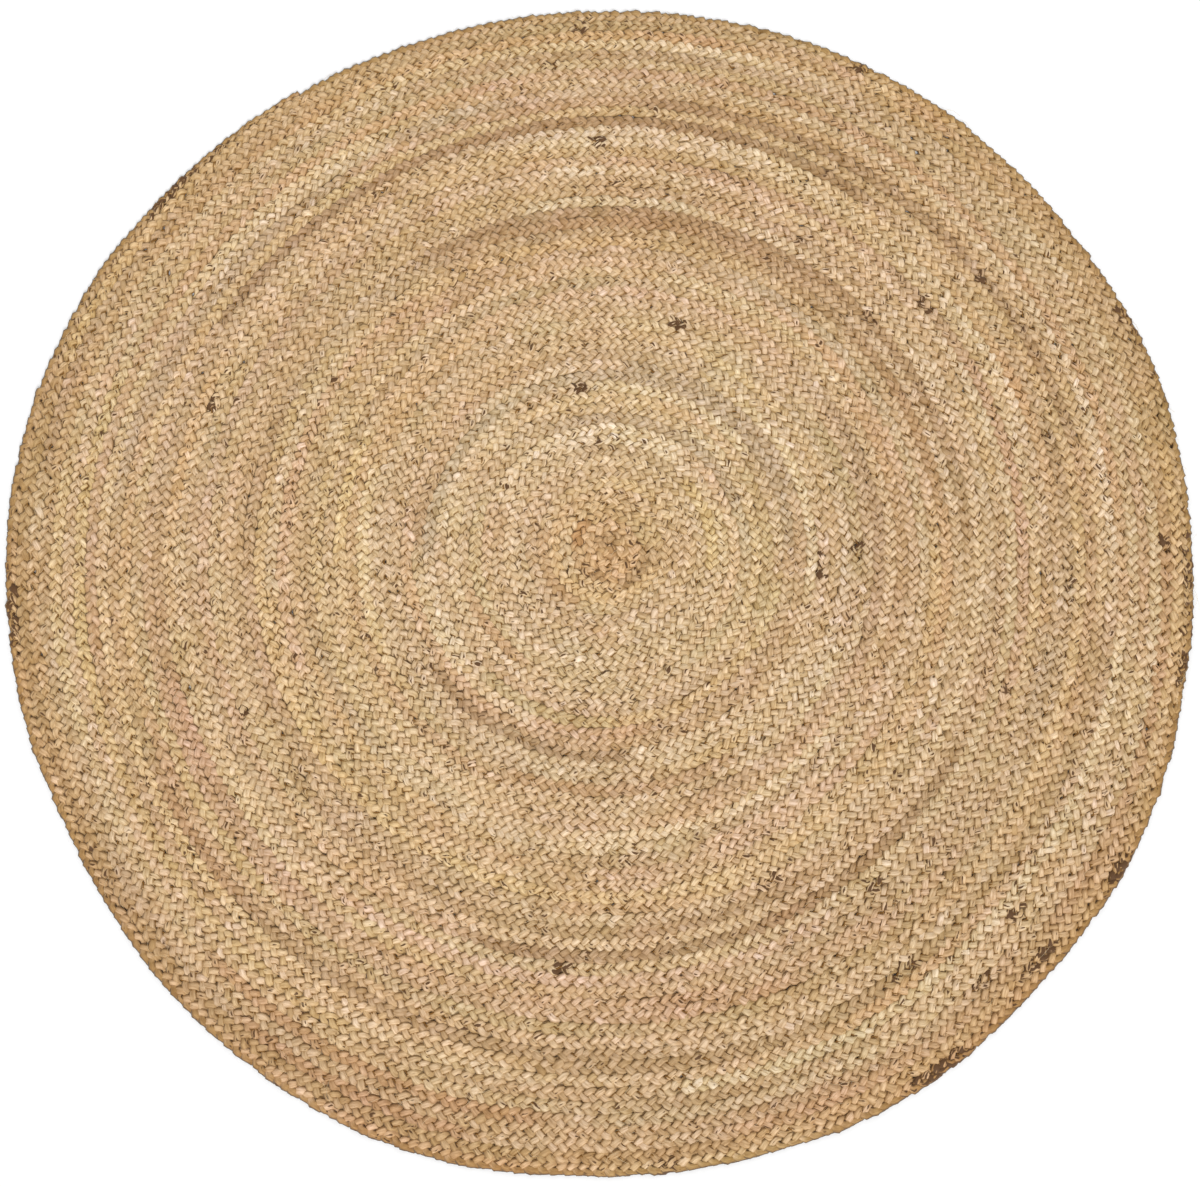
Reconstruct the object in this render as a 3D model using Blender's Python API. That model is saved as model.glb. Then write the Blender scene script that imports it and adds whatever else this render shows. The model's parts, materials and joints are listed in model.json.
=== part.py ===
# Round area rug: one flat three-strand jute plait, laid in a spiral coil and sewn edge to edge.
# The plait is made up of spliced lengths, each a solid of its own, and each is sewn to the turn
# inside it by its own length of thread, which lies hidden in the seam.
# Metres, +Z up. The rug lies flat on z = 0, and the origin is the middle of its box.

import math

import bmesh
import bpy
from mathutils import Vector

# Driving dimensions
RUG_RADIUS = 0.915  # to the middle of the outermost row's wander: a six-foot round rug
TURNS = 53  # rows of plait from the middle to the edge
PLAIT_THICKNESS = 0.0095
THREAD_WIDTH = 0.0008
THREAD_HEIGHT = 0.0050
THREAD_BASE = 0.0020  # height of the thread's underside above the floor
CLEARANCE = 0.0003  # between neighbouring solids
DRIFT = Vector((-0.0062, 0.0061))  # how far the coil's turns creep off centre, per metre of radius
TAIL_ANGLE = math.radians(123)  # where the plait's outer end is tucked in, seen from above
TAIL_TURNS = 0.08  # the stretch where the plait is thinned out, as a share of a turn
TAIL_WIDTH = 0.3  # width of the thinned end, as a share of the plait's
PLAIT_LENGTHS = 12  # spliced lengths, all equally long
CORNERS_PER_TURN = 24
CORNERS_NEAR_MIDDLE = 12
NEAR_MIDDLE = 16  # turns that need only the coarser corners

PITCH = RUG_RADIUS / TURNS  # one row to the next
SEAM_WIDTH = THREAD_WIDTH + 2 * CLEARANCE

PLAIT_COLOURS = (
    (0.560, 0.385, 0.215),
    (0.590, 0.420, 0.245),
    (0.610, 0.450, 0.285),
    (0.575, 0.400, 0.225),
)
THREAD_COLOUR = (0.640, 0.520, 0.360)


def corners_per_turn(turn):
    return CORNERS_NEAR_MIDDLE if turn < NEAR_MIDDLE else CORNERS_PER_TURN


def on_spiral(turn, offset=0.0):
    """The middle of the seam outside a turn. The coil runs clockwise as it grows."""
    angle = TAIL_ANGLE + 2 * math.pi * (TURNS - turn)
    radius = PITCH * (turn + 0.5)
    centre = DRIFT * radius
    return centre + Vector((math.cos(angle), math.sin(angle))) * (radius + offset)


def seam_point(turn, offset=0.0):
    """The same seam, as straight runs between the coil's corners."""
    corners = corners_per_turn(turn + 1e-6)
    place = turn * corners
    before = math.floor(place + 1e-6)
    share = place - before
    if share < 1e-5:
        return on_spiral(turn, offset)
    start = on_spiral(before / corners, offset)
    end = on_spiral((before + 1) / corners, offset)
    return start.lerp(end, share)


def box_middle():
    """The middle of the outermost turn's box, which becomes the origin."""
    outline = [
        seam_point(TURNS - TAIL_TURNS - i / CORNERS_PER_TURN) for i in range(CORNERS_PER_TURN)
    ]
    xs = [p.x for p in outline]
    ys = [p.y for p in outline]
    return Vector(((min(xs) + max(xs)) / 2, (min(ys) + max(ys)) / 2))


ORIGIN = box_middle()


def material(name, colour, roughness):
    made = bpy.data.materials.new(name)
    made.use_nodes = True
    shader = made.node_tree.nodes["Principled BSDF"]
    shader.inputs["Base Color"].default_value = (*colour, 1.0)
    shader.inputs["Roughness"].default_value = roughness
    shader.inputs["Metallic"].default_value = 0.0
    made.diffuse_color = (*colour, 1.0)
    return made


def link(name, data, finish):
    made = bpy.data.objects.new(name, data)
    made.data.materials.append(finish)
    bpy.context.collection.objects.link(made)
    return made


def turn_stations(first, last):
    """Every corner of the coil between two places along it, and the two places."""
    stations = [first]
    place = first
    while True:
        corners = corners_per_turn(place + 1e-6)
        place = (math.floor(place * corners + 1e-6) + 1) / corners
        if place > last - 1e-4:
            break
        stations.append(place)
    stations.append(last)
    return stations


def raise_solid(bm, faces):
    """Gives a flat ribbon the plait's thickness, with its faces outwards."""
    raised = bmesh.ops.extrude_face_region(bm, geom=faces)
    top = [v for v in raised["geom"] if isinstance(v, bmesh.types.BMVert)]
    bmesh.ops.translate(bm, verts=top, vec=(0, 0, PLAIT_THICKNESS))
    bmesh.ops.recalc_face_normals(bm, faces=bm.faces)


def plait_solid(name, edges, finish):
    """A length of plait from its inner and outer edge points, one pair for each station."""
    bm = bmesh.new()
    inner, outer = edges[0]
    rung = bm.edges.new(
        (
            bm.verts.new((inner.x, inner.y, 0)),
            bm.verts.new((outer.x, outer.y, 0)),
        )
    )
    for inner, outer in edges[1:]:
        grown = bmesh.ops.extrude_edge_only(bm, edges=[rung])["geom"]
        rung = next(e for e in grown if isinstance(e, bmesh.types.BMEdge))
        near, far = rung.verts
        near.co = (inner.x, inner.y, 0)
        far.co = (outer.x, outer.y, 0)
    raise_solid(bm, bm.faces[:])
    mesh = bpy.data.meshes.new(name)
    bm.to_mesh(mesh)
    bm.free()
    return link(name, mesh, finish)


def plait_edges(first, last, width_share):
    """Inner and outer edge points of the plait at each station. A turn's inner edge lies along
    the seam one turn further in."""
    half_seam = SEAM_WIDTH / 2
    edges = []
    for turn in turn_stations(first, last):
        inner = seam_point(turn - 1, half_seam) - ORIGIN
        outer = seam_point(turn, -half_seam) - ORIGIN
        edges.append((inner, inner.lerp(outer, width_share(turn))))
    return edges


def full_width(turn):
    return 1.0


def tail_width(turn):
    done = (turn - (TURNS - TAIL_TURNS)) / TAIL_TURNS
    return 1.0 + (TAIL_WIDTH - 1.0) * done


def coil_eye(finish):
    """The plait's first turn, wound tight on itself: a small disc with one step in its rim."""
    half_seam = SEAM_WIDTH / 2
    rim = [seam_point(turn, -half_seam) - ORIGIN for turn in turn_stations(0, 1 - butt_gap(1))]
    bm = bmesh.new()
    bm.faces.new([bm.verts.new((p.x, p.y, 0)) for p in rim])
    raise_solid(bm, bm.faces[:])
    bmesh.ops.triangulate(bm, faces=[f for f in bm.faces if len(f.verts) > 4])
    mesh = bpy.data.meshes.new("coil_eye")
    bm.to_mesh(mesh)
    bm.free()
    return link("coil_eye", mesh, finish)


def butt_gap(turn):
    """Half the clearance between two lengths of plait, as a share of the turn there."""
    return CLEARANCE / 2 / (2 * math.pi * PITCH * max(turn, 1))


def thread_profile():
    """The thread's section: a thin upright wedge."""
    data = bpy.data.curves.new("thread_section", "CURVE")
    data.dimensions = "2D"
    spline = data.splines.new("POLY")
    spline.points.add(2)
    half = THREAD_WIDTH / 2
    for point, place in zip(spline.points, ((half, 0), (-half, 0), (0, THREAD_HEIGHT))):
        point.co = (*place, 0, 1)
    spline.use_cyclic_u = True
    guide = bpy.data.objects.new("thread_section", data)
    guide.hide_render = True
    guide.display_type = "WIRE"
    bpy.context.collection.objects.link(guide)
    return guide


def seam_thread(name, first, last, section, finish):
    """The thread in the seam between two places along the coil."""
    data = bpy.data.curves.new(name, "CURVE")
    data.dimensions = "3D"
    data.twist_mode = "Z_UP"
    data.bevel_mode = "OBJECT"
    data.bevel_object = section
    data.use_fill_caps = True
    stations = turn_stations(first, last)
    spline = data.splines.new("POLY")
    spline.points.add(len(stations) - 1)
    for point, turn in zip(spline.points, stations):
        place = seam_point(turn) - ORIGIN
        point.co = (place.x, place.y, THREAD_BASE, 1)
    return link(name, data, finish)


def length_ends():
    """Where each spliced length starts and ends, in turns, so that all are equally long."""
    end = TURNS - TAIL_TURNS
    share = (end**2 - 1) / PLAIT_LENGTHS
    return [math.sqrt(1 + share * i) for i in range(PLAIT_LENGTHS + 1)]


def build():
    for old in list(bpy.data.objects):
        bpy.data.objects.remove(old)
    thread_finish = material("jute_thread", THREAD_COLOUR, 0.8)
    section = thread_profile()
    coil_eye(material("plait_eye", PLAIT_COLOURS[0], 0.85))
    ends = length_ends()
    for i in range(PLAIT_LENGTHS):
        number = f"{i + 1:02d}"
        first = ends[i] + butt_gap(ends[i])
        last = ends[i + 1] - butt_gap(ends[i + 1])
        finish = material("plait_" + number, PLAIT_COLOURS[i % len(PLAIT_COLOURS)], 0.85)
        plait_solid("plait_length_" + number, plait_edges(first, last, full_width), finish)
        seam_thread("seam_thread_" + number, first - 1, last - 1, section, thread_finish)
    tail_start = ends[-1] + butt_gap(ends[-1])
    plait_solid(
        "plait_tail",
        plait_edges(tail_start, TURNS, tail_width),
        material("plait_tail", PLAIT_COLOURS[1], 0.85),
    )
    seam_thread("tail_thread", tail_start - 1, TURNS - 1, section, thread_finish)


build()
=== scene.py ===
# Round area rug of plaited jute: one flat three-strand plait, coiled and sewn edge to edge.
import json
import math

import bpy
import bmesh
import numpy as np
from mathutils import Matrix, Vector


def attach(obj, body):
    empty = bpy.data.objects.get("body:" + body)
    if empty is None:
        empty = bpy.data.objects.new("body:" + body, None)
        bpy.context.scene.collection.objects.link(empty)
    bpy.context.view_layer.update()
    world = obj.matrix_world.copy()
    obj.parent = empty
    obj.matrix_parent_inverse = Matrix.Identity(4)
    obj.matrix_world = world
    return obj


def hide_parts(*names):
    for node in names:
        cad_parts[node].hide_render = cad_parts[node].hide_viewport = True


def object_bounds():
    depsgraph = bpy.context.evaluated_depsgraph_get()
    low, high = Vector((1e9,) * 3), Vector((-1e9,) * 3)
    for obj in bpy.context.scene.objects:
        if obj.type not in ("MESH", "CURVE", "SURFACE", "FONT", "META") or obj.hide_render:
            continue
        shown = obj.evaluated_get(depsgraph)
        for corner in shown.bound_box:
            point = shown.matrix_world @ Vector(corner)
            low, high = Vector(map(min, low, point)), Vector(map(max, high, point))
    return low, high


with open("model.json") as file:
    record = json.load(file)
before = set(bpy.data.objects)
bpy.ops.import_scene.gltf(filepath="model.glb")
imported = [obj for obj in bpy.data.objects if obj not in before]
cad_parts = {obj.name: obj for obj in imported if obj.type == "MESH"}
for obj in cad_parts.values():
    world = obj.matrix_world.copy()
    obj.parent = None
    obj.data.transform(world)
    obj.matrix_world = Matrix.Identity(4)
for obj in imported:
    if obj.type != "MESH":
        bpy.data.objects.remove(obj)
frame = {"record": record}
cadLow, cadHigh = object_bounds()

mounts = {m["name"]: m for m in frame["record"]["mounts"]}
eye = np.array(mounts["underside"]["pos_m"][:2])  # middle of the coil
floorHeight = cadLow.z
rugTop = cadHigh.z


def linear(hexColour):
    # sRGB hex to the linear values that shaders and attributes take
    parts = [int(hexColour[i:i + 2], 16) / 255 for i in (1, 3, 5)]
    return [c / 12.92 if c <= 0.04045 else ((c + 0.055) / 1.055) ** 2.4 for c in parts]


def addNode(material, kind, settings=None, **links):
    tree = material.node_tree
    node = tree.nodes.new(kind)
    for name, value in (settings or {}).items():
        if name in node.inputs:
            node.inputs[name].default_value = value
        else:
            setattr(node, name, value)
    for socket, source in links.items():
        key = int(socket[1:]) if socket[0] == "i" and socket[1:].isdigit() else socket.replace("_", " ")
        tree.links.new(source, node.inputs[key])
    return node


def newObject(name, data):
    made = bpy.data.objects.new(name, data)
    bpy.context.collection.objects.link(made)
    return made


def smoothNoise(count, spacing, rng):
    # one number a place, drifting over about `spacing` places
    knots = int(count / spacing) + 3
    return np.interp(np.arange(count) / spacing, np.arange(knots), rng.normal(0, 1, knots))


coil = {
    "radius": 0.915,         # mean radius of the rug's edge
    "turns": 53,
    "eyeTurns": 1.0,         # of which the eye is the first
    "drift": (-0.0062, 0.0061),  # how far the turns creep off centre, per metre of radius
    "tailAngle": 123,        # where the plait's outer end is tucked in
    "tailTurns": 0.08,       # stretch over which it is thinned
    "lengths": 12,           # spliced lengths of plait
    "start": 0.10,           # the eye's first place, in turns
    "placesPerPeriod": 12,   # samples along one full crossing pattern of the three strands
    "surveySteps": 400000,   # steps in which the coil is measured before the places are set out
    "stitchInner": 0.0139,   # a stitch's length near the eye and at the edge
    "stitchOuter": 0.0162,
    "uneven": 0.07,          # how much stitches differ in length, over how many metres
    "unevenOver": 0.05,
    "seed": 3,
}
pitch = coil["radius"] / coil["turns"]

edge = {
    # where hand sewing pulled rows in or let them out: angle, push outward in metres, spread in degrees
    "wander": [
        (63, 0.0090, 17), (18, 0.0055, 9), (-9, -0.0075, 20), (252, 0.0085, 15), (296, 0.0065, 11),
        (207, -0.0115, 14), (233, 0.0020, 8), (157, 0.0040, 14), (103, -0.0015, 12), (318, -0.0035, 10),
    ],
    "reach": 0.16,       # how far in from the edge it is felt
    # rows all over the rug waver a little: waves around, metres from crest to crest outward, metres high
    "waver": [
        (5, 0.31, 0.0009), (9, -0.17, 0.0007), (14, 0.11, 0.0006), (23, -0.23, 0.0004), (31, 0.09, 0.0003),
    ],
    "waverFrom": 0.25,   # radius from which the waver is whole
}


def pushOut(angle, radius):
    degrees = np.degrees(angle)
    push = np.zeros_like(radius)
    for at, far, spread in edge["wander"]:
        off = (degrees - at + 180) % 360 - 180
        push += far * np.exp(-((off / spread) ** 2))
    push *= np.exp(-(((coil["radius"] - radius) / edge["reach"]) ** 2))
    for around, length, far in edge["waver"]:
        wave = np.sin(around * angle + 2 * math.pi * radius / length + around)
        push += far * wave * np.clip(radius / edge["waverFrom"], 0, 1)
    return push


def coilPlaces(turn, outward=0.0):
    # points in plan at places along the coil, `outward` metres off the row's middle
    angle = math.radians(coil["tailAngle"]) + 2 * math.pi * (coil["turns"] - turn)
    middle = pitch * turn
    radius = middle + outward + pushOut(angle, middle)
    plan = np.stack([np.cos(angle), np.sin(angle)], 1) * radius[:, None]
    return eye + plan + np.outer(middle, coil["drift"])


def layOut():
    # places along the whole coil, evenly spaced in the plait's crossing pattern
    rng = np.random.default_rng(coil["seed"])
    turn = np.linspace(coil["start"], coil["turns"], coil["surveySteps"] + 1)
    share = turn / coil["turns"]
    stitch = coil["stitchInner"] + (coil["stitchOuter"] - coil["stitchInner"]) * share
    along = math.pi * pitch * (turn**2 - turn[0] ** 2)
    knots = int(along[-1] / coil["unevenOver"])
    pulls = rng.normal(1, coil["uneven"], knots + 1)  # the plaiter's hand: tighter here, looser there
    stitch = stitch * np.interp(along, np.linspace(0, along[-1], knots + 1), pulls)
    periods = np.concatenate([[0], np.cumsum(np.diff(along) / (3 * (stitch[1:] + stitch[:-1]) / 2))])
    count = int(periods[-1] * coil["placesPerPeriod"])
    wanted = np.arange(count) / coil["placesPerPeriod"]
    return np.interp(wanted, periods, turn), wanted, np.interp(wanted, periods, along)


placeTurn, placePeriod, placeAlong = layOut()
tailStart = coil["turns"] - coil["tailTurns"]
# a coil's length grows as its turns squared, so these ends are evenly spaced along the plait
endShare = (tailStart**2 - coil["eyeTurns"] ** 2) / coil["lengths"]
lengthEnds = [math.sqrt(coil["eyeTurns"] ** 2 + endShare * i) for i in range(coil["lengths"] + 1)]
print("coil laid out:", len(placeTurn), "places,", round(float(placeAlong[-1]), 1), "m of plait")


strand = {
    "swing": 0.0067,      # how far a strand swings off the row's middle
    "climb": 0.0023,      # and up and down, as it passes over and under
    "edgeLift": 0.12,     # share of the climb by which it rides higher as it turns at the plait's edge
    "pointed": 0.02,      # share by which it turns more sharply than a plain wave
    "hurry": 0.13,        # how much faster it crosses on top than underneath
    "halfWidth": 0.0052,
    "halfThick": 0.0025,
    "girth": 1.0,
    "topFuller": 0.14,    # fuller on top and where it spreads underneath, by these shares
    "underFuller": 0.06,
    "underWider": 0.15,   # and it swings wider underneath
    "sides": 6,
    "lean": 0.20,         # radians by which its top leans as it crosses over
    "edgeFree": 1.2,      # shares of the swing that it may reach outward, further than it ever does
    "edgeTuck": 0.48,     # in the last row it runs along the rim, drawn in by this share of the swing
    # the tucked-in tail's end: shares by which it is narrower, flatter, thinner, and rows it moves inward
    "tailNarrower": 0.65,
    "tailFlatter": 0.3,
    "tailThinner": 0.45,
    "tailInward": 0.3,
    # how uneven the hand's work is, each with the number of stitches from one change to the next
    "unevenPhase": (0.34, 3),  # radians
    "unevenSwing": (0.16, 2),
    "unevenGirth": (0.13, 1.5),
    "unevenHeight": (0.00035, 2),
    "unevenPlait": (0.05, 30),  # the whole plait's own width
    "unevenRow": (0.0005, 3),  # and how far it strays from the row's middle
    "girthLimits": (0.5, 1.5),
    "seed": 7,
}


def sectionCurve(name, halfWidth, halfThick, sides):
    # flattened section of a strand, pressed by the plait
    data = bpy.data.curves.new(name, "CURVE")
    data.dimensions = "2D"
    spline = data.splines.new("POLY")
    spline.points.add(sides - 1)
    for i, point in enumerate(spline.points):
        a = 2 * math.pi * i / sides
        point.co = (-halfWidth * math.cos(a), halfThick * math.sin(a), 0, 1)
    spline.use_cyclic_u = True
    return newObject(name, data)


def sweep(name, points, radii, tilts, section):
    # a section swept along points, as an open mesh tube; its vertices run ring by ring
    data = bpy.data.curves.new(name, "CURVE")
    data.dimensions = "3D"
    data.twist_mode = "Z_UP"
    data.bevel_mode = "OBJECT"
    data.bevel_object = section
    spline = data.splines.new("POLY")
    spline.points.add(len(points) - 1)
    co = np.ones((len(points), 4))
    co[:, :3] = points
    spline.points.foreach_set("co", co.ravel())
    spline.points.foreach_set("radius", radii)
    spline.points.foreach_set("tilt", tilts)
    guide = newObject(name + "_guide", data)
    bpy.context.view_layer.update()
    mesh = bpy.data.meshes.new_from_object(guide.evaluated_get(bpy.context.evaluated_depsgraph_get()))
    bpy.data.objects.remove(guide)
    mesh.name = name
    return mesh


def pressOnFloor(mesh):
    # a soft strand flattens where it rests, so nothing reaches below the floor
    co = np.empty(len(mesh.vertices) * 3, np.float32)
    mesh.vertices.foreach_get("co", co)
    co[2::3] = np.maximum(co[2::3], floorHeight)
    mesh.vertices.foreach_set("co", co)


def closeEnds(mesh):
    bm = bmesh.new()
    bm.from_mesh(mesh)
    bmesh.ops.holes_fill(bm, edges=[e for e in bm.edges if e.is_boundary], sides=0)
    bmesh.ops.recalc_face_normals(bm, faces=bm.faces)
    for face in bm.faces:
        face.smooth = True
    bm.to_mesh(mesh)
    bm.free()


bakeMap = {
    "rows": 22,       # a strand is cut into this many rows, one above the other
    "rowGap": 0.12,   # share of a row left free
    "margin": 0.002,  # share of the map left free at the ends of the rows
}


def fibreMaps(mesh, rings, sides, along, around):
    # "fibre" runs in metres along and around a strand; "OFBake" lays the strand out in rows
    rows, gap, margin = bakeMap["rows"], bakeMap["rowGap"], bakeMap["margin"]
    loops = np.empty(len(mesh.loops), np.int32)
    mesh.loops.foreach_get("vertex_index", loops)
    ring, side = np.divmod(loops, sides)
    first = np.empty(len(mesh.polygons), np.int32)
    count = np.empty(len(mesh.polygons), np.int32)
    mesh.polygons.foreach_get("loop_start", first)
    mesh.polygons.foreach_get("loop_total", count)
    face = np.repeat(np.arange(len(first)), count)
    # the section closes on itself, so its last face ends one side on, not back at the first
    lastSide = np.maximum.reduceat(side, first)[face]
    side = np.where((side == 0) & (lastSide == sides - 1) & (count[face] == 4), sides, side)
    fibre = mesh.uv_layers[0]
    fibre.name = "fibre"
    inMetres = np.stack([along[ring], side / sides * around], 1)
    fibre.uv.foreach_set("vector", inMetres.astype(np.float32).ravel())
    perRow = math.ceil((rings - 1) / rows)
    row = np.minimum(np.minimum.reduceat(ring, first)[face] // perRow, rows - 1)
    u = margin + (1 - 2 * margin) * (ring - row * perRow) / perRow
    v = (row + gap / 2 + side / sides * (1 - gap)) / rows
    bake = mesh.uv_layers.new(name="OFBake", do_init=False)
    bake.uv.foreach_set("vector", np.stack([u, v], 1).astype(np.float32).ravel())


def strandPaths():
    # each strand's points, girth and tilt over the whole coil
    rng = np.random.default_rng(strand["seed"])
    count = len(placeTurn)
    perStitch = coil["placesPerPeriod"] / 3

    def uneven(name):
        size, stitches = strand[name]
        return size * smoothNoise(count, stitches * perStitch, rng)

    wide = 1 + uneven("unevenPlait")
    stray = uneven("unevenRow")
    middle = floorHeight + (rugTop - floorHeight) / 2
    tail = np.clip((placeTurn - tailStart) / coil["tailTurns"], 0, 1)
    lastRow = np.clip((placeTurn - coil["turns"] + 1 + coil["tailTurns"]) / coil["tailTurns"], 0, 1)
    free, pointed = strand["edgeFree"], strand["pointed"]
    paths = []
    for k in range(3):
        phase = 2 * math.pi * (placePeriod + k / 3) + uneven("unevenPhase")
        swing = strand["swing"] * wide * (1 + uneven("unevenSwing"))
        phase = phase - strand["hurry"] * np.cos(2 * phase)
        over = np.clip(np.sin(2 * phase), 0, 1)
        under = np.clip(-np.sin(2 * phase), 0, 1)
        swing = swing * (1 + strand["underWider"] * under)
        across = -swing * (np.cos(phase) + pointed * np.cos(3 * phase)) / (1 + pointed)
        across = np.minimum(across, swing * (free - (free - 1 + strand["edgeTuck"]) * lastRow))
        across = across * (1 - strand["tailNarrower"] * tail) - strand["tailInward"] * pitch * tail
        across = across + stray * (1 - lastRow)
        rise = strand["climb"] * (np.sin(2 * phase) + strand["edgeLift"] * np.cos(2 * phase))
        rise = rise * (1 - strand["tailFlatter"] * tail) + uneven("unevenHeight")
        girth = strand["girth"] + uneven("unevenGirth")
        girth *= 1 + strand["topFuller"] * over + strand["underFuller"] * under
        girth *= 1 - strand["tailThinner"] * tail
        paths.append({
            "points": np.column_stack([coilPlaces(placeTurn, across), middle + rise]),
            "girth": girth.clip(*strand["girthLimits"]), "tilts": -strand["lean"] * np.cos(phase) * over,
            "phase": phase, "over": over,
        })
    return paths


paths = strandPaths()
print("strands plotted")


tints = {
    # the whole rug's tone from the eye to the edge, as shares of the radius
    "rings": [
        (0.00, "#DAB587"), (0.06, "#DFBC8F"), (0.11, "#E1C299"), (0.18, "#E1C59F"), (0.27, "#E1C6A2"),
        (0.36, "#DFC39F"), (0.50, "#DFC29B"), (0.58, "#DABB94"), (0.70, "#DBBC97"), (0.76, "#D7B893"),
        (0.86, "#DABB96"), (0.93, "#D5B58E"), (1.00, "#CBA980"),
    ],
    # tones that retted jute comes in
    "tones": {
        "cream": "#EDD9B4", "straw": "#E9CB8C", "golden": "#DDAF6C", "rosy": "#D9AF93", "rust": "#B87E4C",
        "olive": "#BBA672", "grey": "#BFA98A", "brown": "#9C7649",
    },
    # stretches of one tone that stand out: from and to in turns from the eye, and how strong
    "lots": {
        "cream": [
            (7.5, 7.6, 0.3), (9.9, 10.2, 0.4), (10.9, 11.2, 0.5), (13.18, 13.25, 0.4), (14.85, 15.0, 0.3),
            (15.07, 15.25, 0.6), (16.65, 16.85, 0.4), (18.2, 18.38, 0.5), (21.78, 21.9, 0.4),
            (22.4, 22.47, 0.4), (25.44, 25.62, 0.35), (26.12, 26.26, 0.4), (33.05, 33.3, 0.35),
            (39.05, 39.3, 0.4), (43.93, 44.02, 0.4), (44.92, 45.02, 0.3), (46.36, 46.58, 0.55),
        ],
        "brown": [
            (2.6, 2.72, 0.35), (3.33, 3.55, 0.5), (4.33, 4.42, 0.35), (18.57, 18.75, 0.6),
            (24.24, 24.42, 0.3), (30.0, 30.33, 0.3), (32.0, 32.35, 0.4), (33.5, 33.75, 0.35),
            (35.42, 35.65, 0.45), (40.92, 41.2, 0.6), (43.1, 43.31, 0.45), (44.36, 44.62, 0.4),
            (51.55, 51.9, 0.4),
        ],
        "rust": [
            (2.85, 3.0, 0.4), (5.66, 5.9, 0.3), (12.68, 12.8, 0.3), (21.5, 21.66, 0.3), (48.6, 48.72, 0.45),
            (50.62, 50.7, 0.4),
        ],
        "rosy": [
            (27.47, 27.55, 0.4), (28.43, 28.6, 0.4), (28.77, 29.0, 0.4), (37.5, 37.7, 0.4),
            (39.48, 39.8, 0.4),
        ],
        "grey": [(12.0, 12.3, 0.4), (15.83, 16.35, 0.6), (17.1, 17.3, 0.5), (42.88, 43.0, 0.5)],
        "olive": [(14.25, 14.42, 0.4), (15.58, 15.72, 0.5), (22.25, 22.37, 0.4)],
        "straw": [(9.22, 9.38, 0.5), (23.83, 23.92, 0.4), (46.66, 46.9, 0.3)],
    },
    "lotFade": 0.012,     # turns over which such a stretch comes and goes
    # turns between changes of tone over long stretches, metres between the short ones, and how strong
    "longLots": (0.28, 0.40),
    "shortLots": (0.30, 0.32),
    "lotEvenness": 2.0,   # 1 for changes at any distance, more for evener ones
    "spareCuts": 1.6,     # changes drawn for each one expected, so that they reach the end
    "strandSpread": 0.04,  # strands drift lighter and darker by themselves, over about this many metres
    "strandRun": 0.25,
    "stitchSpread": 0.06,  # and one stitch from the next
    "stitchLimits": (0.65, 1.35),
    # where a strand is shaded it is deeper in colour too: powers for red, green and blue
    "deepen": (1.0, 1.32, 2.3),
    # painted shade from side to side of a strand, starting at one flank and going over the top; the flanks
    # and the underside are darkest
    "sideShade": (0.53, 1.01, 1.01, 0.53, 0.38, 0.38),
    "rimShade": (0.10, 0.66, 0.70, 0.10, 0.10, 0.10),  # as well, in the last row
    "rimFrom": -0.2,      # where the rim begins: shares of the swing, counted inward
    "diveShade": 0.85,    # and where it dives under its neighbours
    "bark": "#5A3A17",    # dark root ends left in the fibre
    "barkLots": (0.4, 0.16),  # more in some stretches: metres between changes, and how much more
    # knots of bark that stand out: how many, from which turn outward, and least and most metres long
    "knots": [(27, 0, 0.02, 0.05), (8, 52, 0.04, 0.12)],
    "knotShift": 0.3,     # shares of its length by which a knot differs from strand to strand
    "knotStrength": (0.5, 1.0),
    "knotSeed": 4,
    "seed": 21,
}


def toneAlong(along, spacing, weight, rng):
    # tones drawn at uneven distances, each blending into the next; returns a colour and a weight a place
    total = float(along[-1])
    colours = np.array([linear(c) for c in tints["tones"].values()])
    even = tints["lotEvenness"]
    cuts = np.cumsum(rng.gamma(even, spacing / even, int(total / spacing * tints["spareCuts"])))
    cuts = np.concatenate([[0], cuts[cuts < total], [total]])
    pick = rng.integers(0, len(colours), len(cuts))
    strong = rng.uniform(0, weight, len(cuts))
    tone = np.stack([np.interp(along, cuts, colours[pick][:, i]) for i in range(3)], 1)
    return tone, np.interp(along, cuts, strong)[:, None]


def plaitTint(rng):
    # one colour a place, the same for all three strands
    share = np.clip(placeTurn / coil["turns"], 0, 1)
    stops = np.array([s for s, c in tints["rings"]])
    ringColours = np.array([linear(c) for s, c in tints["rings"]])
    colour = np.stack([np.interp(share, stops, ringColours[:, i]) for i in range(3)], 1)
    for along, (spacing, strongest) in ((placeTurn, tints["longLots"]), (placeAlong, tints["shortLots"])):
        tone, weight = toneAlong(along, spacing, strongest, rng)
        colour = colour * (1 - weight) + tone * weight
    for name, lots in tints["lots"].items():
        for first, last, strong in lots:
            inside = np.minimum(placeTurn - first, last - placeTurn)
            weight = np.clip(inside / tints["lotFade"], 0, 1)[:, None] * strong
            colour = colour * (1 - weight) + np.array(linear(tints["tones"][name])) * weight
    return colour


def knotPlaces():
    # the knots of bark, scattered over the rug: metres along the plait, and metres long
    rng = np.random.default_rng(tints["knotSeed"])
    found = []
    for count, fromTurn, shortest, longest in tints["knots"]:
        first = np.interp(fromTurn, placeTurn, placeAlong)
        for middle in rng.uniform(first, placeAlong[-1], count):
            found.append((middle, rng.uniform(shortest, longest)))
    return found


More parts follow.
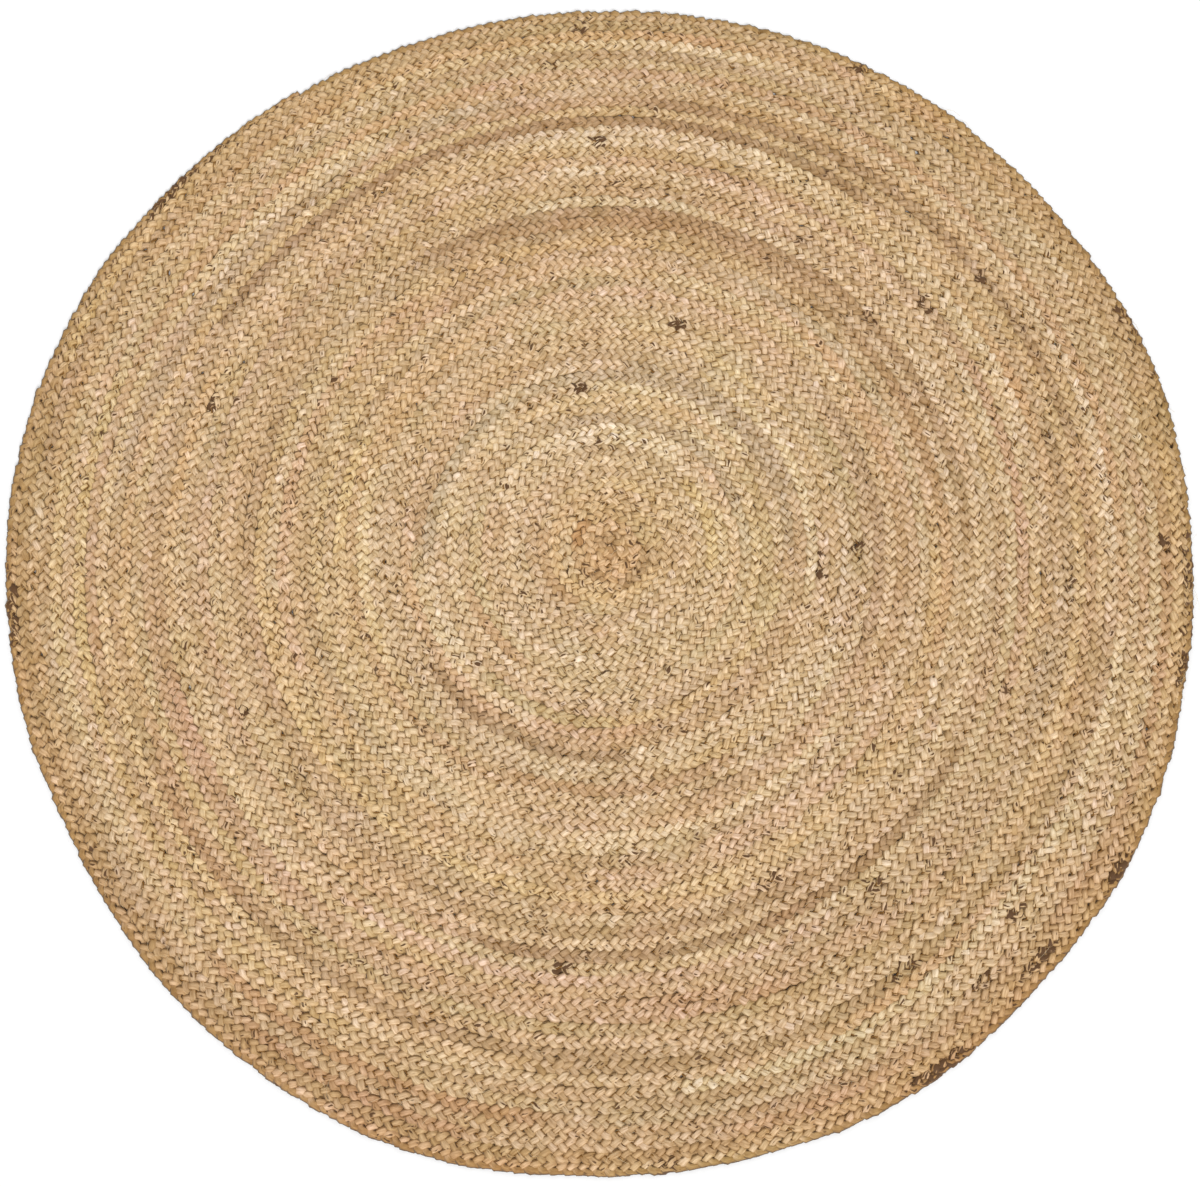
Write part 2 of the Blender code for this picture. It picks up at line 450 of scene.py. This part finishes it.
def strandToneAndPaintedShade(colour, path, knots, rng):
    # the plait's colour, varied strand by strand and stitch by stitch, with painted shade on the flanks, the
    # underside, where it dives and along the rim, for every side of each place
    places = len(placeAlong)
    perMetre = places / placeAlong[-1]
    drift = 1 + tints["strandSpread"] * smoothNoise(places, tints["strandRun"] * perMetre, rng)
    stitch = np.floor((path["phase"] + math.pi / 4) / math.pi).astype(int)
    stitch -= stitch.min()
    depths = rng.normal(1, tints["stitchSpread"], stitch.max() + 1).clip(*tints["stitchLimits"])
    depth = depths[stitch] * drift
    # painted shade where the strand dives under its neighbours
    depth *= tints["diveShade"] + (1 - tints["diveShade"]) * np.sqrt(path["over"])
    # painted shade on each strand's flanks and underside, where it meets its neighbours
    shade = depth[:, None] * np.array(tints["sideShade"])
    # painted shade along the rug's rim: the outer lobes of the last row are darkened, their flanks and
    # underside most
    outermost = (placeTurn > coil["turns"] - 1) & (np.cos(path["phase"]) < tints["rimFrom"])
    shade[outermost] *= np.array(tints["rimShade"])
    colour = colour[:, None, :] * shade[:, :, None] ** np.array(tints["deepen"])
    # how much bark there is, kept beside the colour
    spacing, most = tints["barkLots"]
    bark = np.clip(most * smoothNoise(places, spacing * perMetre, rng), 0, 1)
    for place, length in knots:
        middle = place + rng.uniform(-tints["knotShift"], tints["knotShift"]) * length
        near = np.exp(-(((placeAlong - middle) / (0.5 * length)) ** 4))
        bark = np.maximum(bark, near * rng.uniform(*tints["knotStrength"]))
    bark = np.broadcast_to(bark[:, None, None], colour.shape[:2] + (1,))
    return np.concatenate([colour, bark], 2)


def setToneAndPaintedShade(mesh, colour):
    # the plait's tone with its painted shade, and the bark in alpha; colours go round each place's sides in
    # the order of the mesh's own vertices
    tint = mesh.color_attributes.new("fibreToneAndPaintedShade", "FLOAT_COLOR", "POINT")
    tint.data.foreach_set("color", colour.astype(np.float32).ravel())


def newMaterial(name):
    material = bpy.data.materials.new(name)
    material.use_nodes = True
    material.node_tree.nodes.clear()
    return material


fibreLook = {
    "blotchScale": 13.0,               # blotches a metre
    "blotchDeepest": (0.972, 0.992, 0.975),
    "blotchRange": (0.09, 0.06, 0.12),
    "hankScale": (90, 400, 1),         # hanks a metre, along the strand and across it
    "hankShade": (0.71, 0.64, 0.545, 1),
    "hankLight": (1.15, 1.18, 1.22, 1),
    "bundleScale": (60, 1250, 1),
    "bundleDepth": (0.89, 1.11),
    "fleckScale": (95, 230, 1),
    "fleckPlace": (3, 7, 0),           # so that flecks and hanks don't lie alike
    "fleckEdge": (0.665, 0.72),        # of the noise, where a fleck begins and where it is whole
    "fleckMore": 0.27,                 # added to the noise where there is most bark
    "relief": 0.0006,                  # metres by which the bundles stand out
}


def juteFibre():
    # Raw jute, retted and hand plaited: matt, with long silky streaks along the strand where
    # fibres lie together, and darker lines between them.
    look = fibreLook
    material = newMaterial("rawJuteFibre")
    out = addNode(material, "ShaderNodeOutputMaterial")
    shader = addNode(material, "ShaderNodeBsdfPrincipled", {
        "Roughness": 0.72, "IOR": 1.53, "Specular IOR Level": 0.4, "Sheen Weight": 0.15,
        "Sheen Roughness": 0.45, "Sheen Tint": (1.0, 0.93, 0.8, 1.0),
    })
    material.node_tree.links.new(shader.outputs[0], out.inputs[0])
    # the plait's tone with painted shade on flanks, underside, dives and rim; bark in its alpha
    tint = addNode(material, "ShaderNodeAttribute", {"attribute_name": "fibreToneAndPaintedShade"})
    grain = addNode(material, "ShaderNodeUVMap", {"uv_map": "fibre"})
    # soft blotches of greener and rosier fibre about 80 mm across, as the sheaves were mixed
    place = addNode(material, "ShaderNodeTexCoord")
    blotches = addNode(material, "ShaderNodeTexNoise", {"Scale": look["blotchScale"], "Detail": 1.0},
                       Vector=place.outputs["Object"])
    blotch = addNode(material, "ShaderNodeVectorMath", {"operation": "MULTIPLY_ADD"},
                     i0=blotches.outputs["Color"])
    blotch.inputs[1].default_value = look["blotchRange"]
    blotch.inputs[2].default_value = look["blotchDeepest"]
    mixed = addNode(material, "ShaderNodeVectorMath", {"operation": "MULTIPLY"}, i0=tint.outputs["Color"],
                    i1=blotch.outputs[0])
    # hanks of fibre about 2.5 mm across and 11 mm long, brown in their shade and pale in the light
    hankScale = addNode(material, "ShaderNodeMapping", {"Scale": look["hankScale"]},
                        Vector=grain.outputs[0])
    hanks = addNode(material, "ShaderNodeTexNoise", {"Scale": 1.0, "Detail": 2.5, "Roughness": 0.65},
                    Vector=hankScale.outputs[0])
    hankDepth = addNode(material, "ShaderNodeMapRange", {"From Min": 0.33, "From Max": 0.67},
                        Value=hanks.outputs[0])
    hankTint = addNode(material, "ShaderNodeMix", {"data_type": "RGBA"}, i0=hankDepth.outputs[0])
    hankTint.inputs[6].default_value = look["hankShade"]
    hankTint.inputs[7].default_value = look["hankLight"]
    hanked = addNode(material, "ShaderNodeVectorMath", {"operation": "MULTIPLY"}, i0=mixed.outputs[0],
                     i1=hankTint.outputs[2])
    # fibre bundles about 0.8 mm across, coarser than single fibres so that they show
    bundleScale = addNode(material, "ShaderNodeMapping", {"Scale": look["bundleScale"]},
                          Vector=grain.outputs[0])
    bundles = addNode(material, "ShaderNodeTexNoise", {"Scale": 1.0, "Detail": 3.0, "Roughness": 0.65},
                      Vector=bundleScale.outputs[0])
    darkest, lightest = look["bundleDepth"]
    bundleDepth = addNode(material, "ShaderNodeMapRange", {
        "From Min": 0.3, "From Max": 0.7, "To Min": darkest, "To Max": lightest}, Value=bundles.outputs[0])
    shade = addNode(material, "ShaderNodeVectorMath", {"operation": "SCALE"}, i0=hanked.outputs[0],
                    Scale=bundleDepth.outputs[0])
    # flecks of bark at most about 10 mm long and 4 mm wide, as many as the attribute's alpha asks for
    fleckScale = addNode(material, "ShaderNodeMapping", {
        "Location": look["fleckPlace"], "Scale": look["fleckScale"]}, Vector=grain.outputs[0])
    flecks = addNode(material, "ShaderNodeTexNoise", {"Scale": 1.0, "Detail": 1.5, "Roughness": 0.5},
                     Vector=fleckScale.outputs[0])
    moreFlecks = addNode(material, "ShaderNodeMath", {"operation": "MULTIPLY_ADD"}, i0=tint.outputs["Alpha"],
                         i2=flecks.outputs[0])
    moreFlecks.inputs[1].default_value = look["fleckMore"]
    begins, whole = look["fleckEdge"]
    fleckEdge = addNode(material, "ShaderNodeMapRange", {"From Min": begins, "From Max": whole},
                        Value=moreFlecks.outputs[0])
    flecked = addNode(material, "ShaderNodeMix", {"data_type": "RGBA"}, i0=fleckEdge.outputs[0],
                      i6=shade.outputs[0])
    flecked.inputs[7].default_value = (*linear(tints["bark"]), 1)
    material.node_tree.links.new(flecked.outputs[2], shader.inputs["Base Color"])
    bump = addNode(material, "ShaderNodeBump", {"Strength": 0.6, "Distance": look["relief"]},
                   Height=bundles.outputs[0])
    material.node_tree.links.new(bump.outputs[0], shader.inputs["Normal"])
    return material


def stageFloor():
    material = newMaterial("paleStudioFloor")
    out = addNode(material, "ShaderNodeOutputMaterial")
    shader = addNode(material, "ShaderNodeBsdfPrincipled", {
        "Base Color": (0.93, 0.93, 0.93, 1), "Roughness": 0.9,
    })
    material.node_tree.links.new(shader.outputs[0], out.inputs[0])
    return material


jute = juteFibre()


def placesBetween(first, last):
    inside = np.nonzero((placeTurn >= first) & (placeTurn <= last))[0]
    return slice(inside[0], inside[-1] + 1)


def makeStrand(name, path, colour, part, section, around):
    mesh = sweep(name, path["points"][part], path["girth"][part], path["tilts"][part], section)
    pressOnFloor(mesh)
    fibreMaps(mesh, part.stop - part.start, strand["sides"], placeAlong[part], around)
    setToneAndPaintedShade(mesh, colour[part])
    closeEnds(mesh)
    mesh.materials.append(jute)
    return newObject(name, mesh)


def makePlait():
    section = sectionCurve("strand_section", strand["halfWidth"], strand["halfThick"], strand["sides"])
    around = 2 * math.pi * math.sqrt((strand["halfWidth"] ** 2 + strand["halfThick"] ** 2) / 2)
    rng = np.random.default_rng(tints["seed"])
    whole = plaitTint(rng)
    knots = knotPlaces()
    colours = [strandToneAndPaintedShade(whole, path, knots, rng) for path in paths]
    stretches = [("eye", "coil_eye", coil["start"], coil["eyeTurns"])]
    for i in range(coil["lengths"]):
        label, node = f"length{i + 1:02d}", f"plait_length_{i + 1:02d}"
        stretches.append((label, node, lengthEnds[i], lengthEnds[i + 1]))
    stretches.append(("tail", "plait_tail", tailStart, coil["turns"]))
    for label, node, first, last in stretches:
        part = placesBetween(first, last)
        part = slice(max(part.start - 1, 0), part.stop)
        for letter, path, colour in zip("ABC", paths, colours):
            piece = makeStrand(f"{label}_strand{letter}", path, colour, part, section, around)
            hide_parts(node)
            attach(piece, "root")
    bpy.data.objects.remove(section)


makePlait()
print("plait made")


thread = {
    "radius": 0.0014,
    "sides": 4,
    "zigzag": 0.0021,    # to either side of the seam
    "step": 0.0055,      # along the seam, from one side to the other
    "low": 0.0038,       # below the rug's top
    # brown twine, darkened further as painted shade for the seam
    "colour": "#855C26",
}


def juteThread():
    # two-ply jute sewing thread, darker than the plait: a brown twine, darkened further as painted shade for
    # the seam it lies in
    material = newMaterial("juteSewingThread")
    out = addNode(material, "ShaderNodeOutputMaterial")
    shader = addNode(material, "ShaderNodeBsdfPrincipled", {
        "Base Color": (*linear(thread["colour"]), 1), "Roughness": 0.8, "IOR": 1.53,
        "Specular IOR Level": 0.3,
    })
    material.node_tree.links.new(shader.outputs[0], out.inputs[0])
    return material


def makeThreads():
    finish = juteThread()
    section = sectionCurve("thread_section", thread["radius"], thread["radius"], thread["sides"])
    stretches = []
    for i in range(coil["lengths"]):
        name, node = f"seamThread{i + 1:02d}", f"seam_thread_{i + 1:02d}"
        stretches.append((name, node, lengthEnds[i], lengthEnds[i + 1]))
    stretches.append(("tailThread", "tail_thread", tailStart, coil["turns"]))
    for name, node, first, last in stretches:
        # the seam lies half a row inside the row it sews on
        ends = [math.pi * pitch * (t - 0.5) ** 2 for t in (first, last)]
        count = int((ends[1] - ends[0]) / thread["step"])
        seam = np.sqrt(np.linspace(ends[0], ends[1], count) / (math.pi * pitch))
        side = np.where(np.arange(count) % 2, 1, -1) * thread["zigzag"]
        plan = coilPlaces(seam, side)
        height = np.full(count, rugTop - thread["low"])
        mesh = sweep(name, np.column_stack([plan, height]), np.ones(count), np.zeros(count), section)
        closeEnds(mesh)
        mesh.materials.append(finish)
        piece = newObject(name, mesh)
        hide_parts(node)
        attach(piece, "root")
    bpy.data.objects.remove(section)


makeThreads()
print("threads made")


looseFibre = {
    "count": 3200,
    "radius": 0.00016,        # coarser than a real fibre, so that it shows
    "sides": 3,
    "length": (0.010, 0.042),
    "stray": 50,              # degrees off the row's run, at most
    "lift": 0.0016,           # above the rug's top, at most
    "leastLift": 0.2,         # share of it that the flattest fibre has
    "points": 5,              # along a fibre
    "bend": 0.25,             # sideways, as a share of its length, at most
    "dip": 6.5,               # how steeply its ends go down into the plait
    "eyeFree": 0.2,           # no fibres nearer the eye than this many turns, squared
    "edgeFree": 0.6,          # nor nearer the edge than this many turns
    "colours": ["#E9D6AE", "#C8A672"],
    "seed": 5,
}


def makeLooseFibres():
    # single fibres that have worked out of the plait and lie over it, each a shallow bow
    rng = np.random.default_rng(looseFibre["seed"])
    section = sectionCurve("fibre_section", looseFibre["radius"], looseFibre["radius"], looseFibre["sides"])
    bow = np.linspace(-0.5, 0.5, looseFibre["points"])
    for number, colour in enumerate(looseFibre["colours"], 1):
        data = bpy.data.curves.new("fibres", "CURVE")
        data.dimensions = "3D"
        data.bevel_mode = "OBJECT"
        data.bevel_object = section
        count = looseFibre["count"] // len(looseFibre["colours"])
        outermost = coil["turns"] - looseFibre["edgeFree"]
        turns = np.sqrt(rng.uniform(looseFibre["eyeFree"], outermost**2, count))
        outward = rng.uniform(-0.5, 0.5, count) * pitch
        middles = coilPlaces(turns, outward)
        runs = coilPlaces(turns + 0.01 / turns, outward) - middles  # a short way on along the row
        for middle, run in zip(middles, runs):
            angle = math.atan2(run[1], run[0]) + math.radians(looseFibre["stray"]) * rng.uniform(-1, 1)
            length = rng.uniform(*looseFibre["length"])
            bend = rng.uniform(-looseFibre["bend"], looseFibre["bend"]) * length
            ahead, aside = bow * length, bend * (1 - 4 * bow**2)
            lift = looseFibre["lift"] * rng.uniform(looseFibre["leastLift"], 1.0)
            spline = data.splines.new("POLY")
            spline.points.add(len(bow) - 1)
            for point, a, s, b in zip(spline.points, ahead, aside, bow):
                x = middle[0] + a * math.cos(angle) - s * math.sin(angle)
                y = middle[1] + a * math.sin(angle) + s * math.cos(angle)
                point.co = (x, y, rugTop + lift * (1 - looseFibre["dip"] * b**2), 1)
        guide = newObject("fibres_guide", data)
        bpy.context.view_layer.update()
        mesh = bpy.data.meshes.new_from_object(guide.evaluated_get(bpy.context.evaluated_depsgraph_get()))
        bpy.data.objects.remove(guide)
        closeEnds(mesh)
        mesh.materials.append(singleFibre(colour))
        piece = newObject(f"looseFibres{number}", mesh)
        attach(piece, "root")
    bpy.data.objects.remove(section)


def singleFibre(colour):
    # one jute fibre: silky, so it catches the light along its length
    material = newMaterial("singleJuteFibre")
    out = addNode(material, "ShaderNodeOutputMaterial")
    shader = addNode(material, "ShaderNodeBsdfPrincipled", {
        "Base Color": (*linear(colour), 1), "Roughness": 0.55, "IOR": 1.53,
    })
    material.node_tree.links.new(shader.outputs[0], out.inputs[0])
    return material


makeLooseFibres()
print("loose fibres laid")


stage = {
    "floorSize": 400.0,
    "cameraTilt": 10.63,             # degrees off straight down
    "cameraOffset": (-0.0123, -0.465, 2.098),  # from the eye of the coil, on the rug's top
    "lens": 41.9,
    "around": 0.73,                  # light from all round
    "keyFrom": (0.36, -0.95, 1.1),
    "keyPower": 1.8,
    "softness": 25,                  # degrees across
}


def setStage():
    mesh = bpy.data.meshes.new("studioFloor")
    bm = bmesh.new()
    bmesh.ops.create_grid(bm, x_segments=1, y_segments=1, size=stage["floorSize"] / 2)
    bmesh.ops.translate(bm, verts=bm.verts, vec=(0, 0, floorHeight))
    bm.to_mesh(mesh)
    bm.free()
    floor = newObject("studioFloor", mesh)
    mesh.materials.append(stageFloor())

    scene = bpy.context.scene
    scene.view_settings.view_transform = "Standard"
    world = bpy.data.worlds.new("studioWorld")
    world.use_nodes = True
    background = world.node_tree.nodes["Background"]
    background.inputs[0].default_value = (1.0, 1.0, 1.0, 1)
    background.inputs[1].default_value = stage["around"]
    scene.world = world

    data = bpy.data.lights.new("farSoftbox", "SUN")  # far off, so that it lights the whole rug alike
    data.angle = math.radians(stage["softness"])
    data.energy = stage["keyPower"]
    light = newObject("farSoftbox", data)
    light.rotation_euler = (-Vector(stage["keyFrom"])).to_track_quat("-Z", "Y").to_euler()

    camera = newObject("camera", bpy.data.cameras.new("camera"))
    camera.data.lens = stage["lens"]
    camera.data.sensor_width = 36
    offset = stage["cameraOffset"]
    camera.location = (eye[0] + offset[0], eye[1] + offset[1], rugTop + offset[2])
    camera.rotation_euler = (math.radians(stage["cameraTilt"]), 0, 0)
    scene.camera = camera


setStage()
print("stage set")
